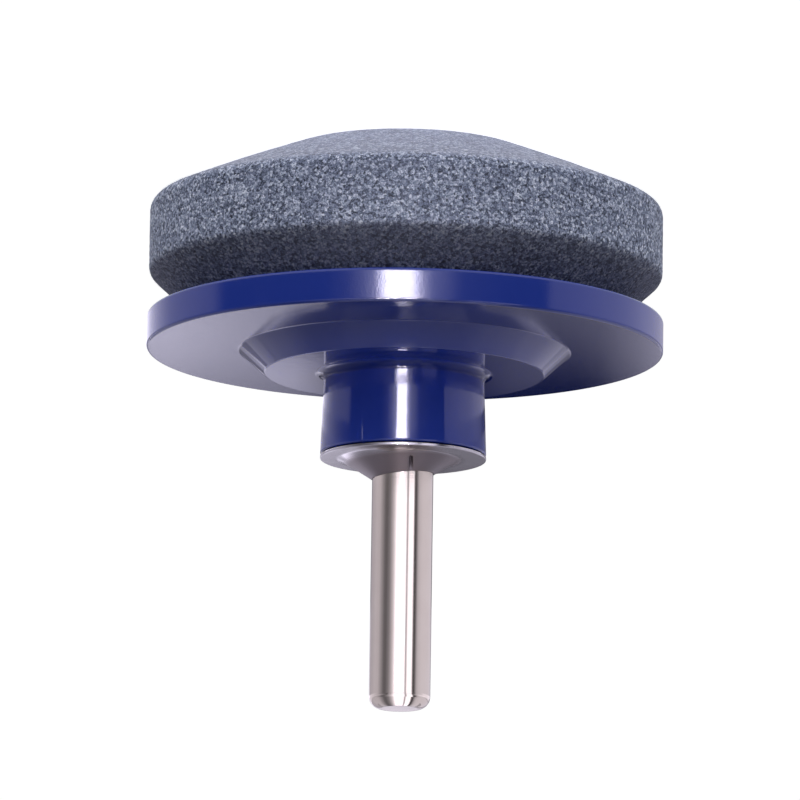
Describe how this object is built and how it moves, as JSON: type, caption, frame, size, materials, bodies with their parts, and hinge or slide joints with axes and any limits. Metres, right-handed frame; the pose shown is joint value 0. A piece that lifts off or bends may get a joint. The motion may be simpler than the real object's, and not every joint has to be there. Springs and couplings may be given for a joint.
{
  "type": "lawn mower blade sharpener",
  "caption": "Drill-driven rotary sharpener: a grey-blue turned grinding stone on a blue moulded guide disc, with a steel end plate and a round chuck shank.",
  "frame": {"origin": "centre of the stone's flat head, on the surface that the part stands on", "axes": "+Z along the turning axis, from the stone's head to the free end of the shank; +X towards the full side of the weld"},
  "size_m": [0.0508, 0.0508, 0.0555],
  "materials": {
    "abrasive": "rough bonded grit, grey blue",
    "plastic": "glossy moulded deep blue",
    "plate_steel": "dull turned steel",
    "shank_steel": "ground bright steel"
  },
  "bodies": {
    "root": {"grinding_stone": "abrasive", "guide_disc": "plastic", "end_plate": "plate_steel", "shank": "shank_steel"}
  },
  "joints": []
}
